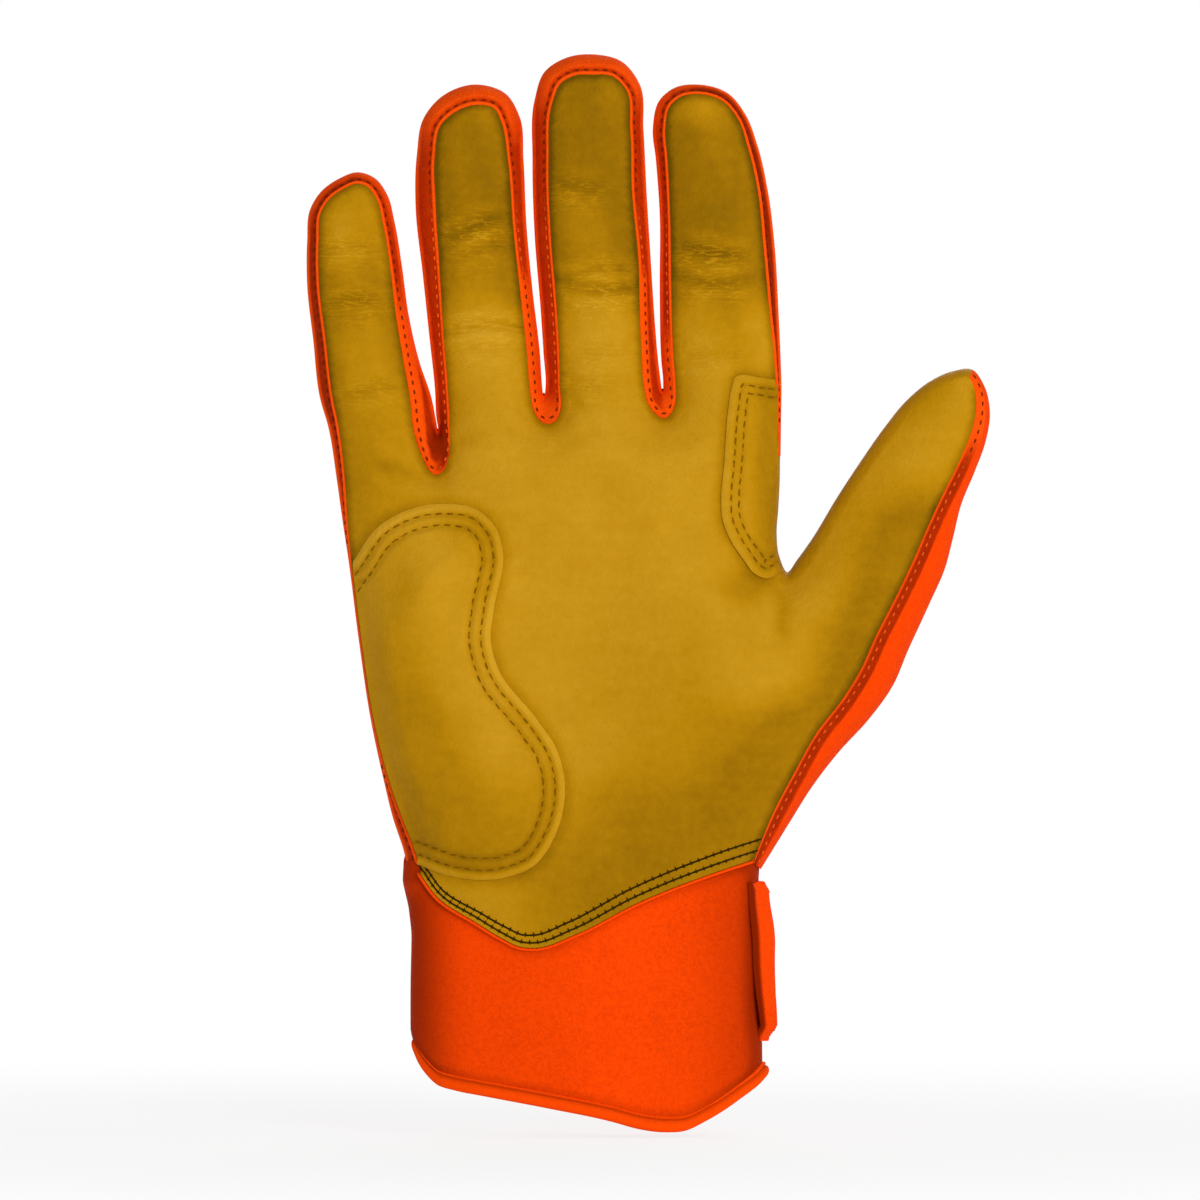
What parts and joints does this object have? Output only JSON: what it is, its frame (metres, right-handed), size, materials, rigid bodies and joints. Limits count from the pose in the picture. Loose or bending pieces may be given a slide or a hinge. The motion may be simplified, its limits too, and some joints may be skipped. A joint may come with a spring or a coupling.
{
  "type": "batting glove",
  "caption": "Right-hand batting glove with a leather palm, padded heel, stitched finger side bands, stretch back, open cuff and a hook-and-loop wrist strap.",
  "frame": {"origin": "middle of the wrist opening, level with the lowest point of the cuff's hem", "axes": "+Z from the cuff to the fingertips, +Y from the palm to the back of the hand, +X towards the thumb"},
  "size_m": [0.1578, 0.0373, 0.2496],
  "materials": {
    "leather": "soft grained leather with a slight sheen",
    "band_cloth": "fine knit, stitched along both edges",
    "stretch_cloth": "matt stretch knit",
    "cuff_foam": "smooth cloth over foam",
    "binding": "woven tape",
    "hook_loop": "hook and loop pile",
    "soft_rubber": "matt moulded rubber",
    "foam": "open-cell foam"
  },
  "bodies": {
    "hand": {"palm_leather": "leather", "thumb_seam_strip": "band_cloth", "crotch_gusset_little_ring": "band_cloth", "crotch_gusset_ring_middle": "band_cloth", "crotch_gusset_middle_index": "band_cloth", "back_panel": "stretch_cloth", "thumb_base_panel": "stretch_cloth", "heel_pad": "leather", "heel_foam": "foam", "web_patch": "leather", "cuff_front": "cuff_foam", "cuff_back_thumb_side": "cuff_foam", "cuff_back_little_side": "cuff_foam", "cuff_hem": "binding", "wrist_elastic": "binding", "vent_gusset": "stretch_cloth", "loop_pad": "hook_loop", "strap_anchor": "cuff_foam"},
    "little_finger": {"little_front": "leather", "little_back": "stretch_cloth", "little_side_band": "band_cloth"},
    "ring_finger": {"ring_front": "leather", "ring_back": "stretch_cloth", "ring_side_band": "band_cloth"},
    "middle_finger": {"middle_front": "leather", "middle_back": "stretch_cloth", "middle_side_band": "band_cloth"},
    "index_finger": {"index_front": "leather", "index_back": "stretch_cloth", "index_side_band": "band_cloth"},
    "thumb": {"thumb_front": "leather", "thumb_back": "stretch_cloth", "thumb_side_band": "band_cloth"},
    "wrist_strap": {"strap": "cuff_foam", "hook_pad": "hook_loop", "strap_patch": "soft_rubber"}
  },
  "joints": [
    {"name": "little_flex", "type": "hinge", "parent": "hand", "child": "little_finger", "pos_m": [-0.0492, -0.0093, 0.166], "axis": [1, 0, 0], "range_deg": [0, 80], "stiffness_Nm_per_rad": 0.02},
    {"name": "ring_flex", "type": "hinge", "parent": "hand", "child": "ring_finger", "pos_m": [-0.0241, -0.0093, 0.1745], "axis": [1, 0, 0], "range_deg": [0, 80], "stiffness_Nm_per_rad": 0.02},
    {"name": "middle_flex", "type": "hinge", "parent": "hand", "child": "middle_finger", "pos_m": [0.00255, -0.0093, 0.175], "axis": [1, 0, 0], "range_deg": [0, 80], "stiffness_Nm_per_rad": 0.02},
    {"name": "index_flex", "type": "hinge", "parent": "hand", "child": "index_finger", "pos_m": [0.0306, -0.0093, 0.178], "axis": [1, 0, 0], "range_deg": [0, 80], "stiffness_Nm_per_rad": 0.02},
    {"name": "thumb_flex", "type": "hinge", "parent": "hand", "child": "thumb", "pos_m": [0.0621, -0.0108, 0.12435], "axis": [0.891, 0, -0.454], "range_deg": [0, 50], "stiffness_Nm_per_rad": 0.02},
    {"name": "strap_open", "type": "hinge", "parent": "hand", "child": "wrist_strap", "pos_m": [0.0455, 0.00185, 0.0395], "axis": [0, 0, -1], "range_deg": [0, 120]}
  ]
}
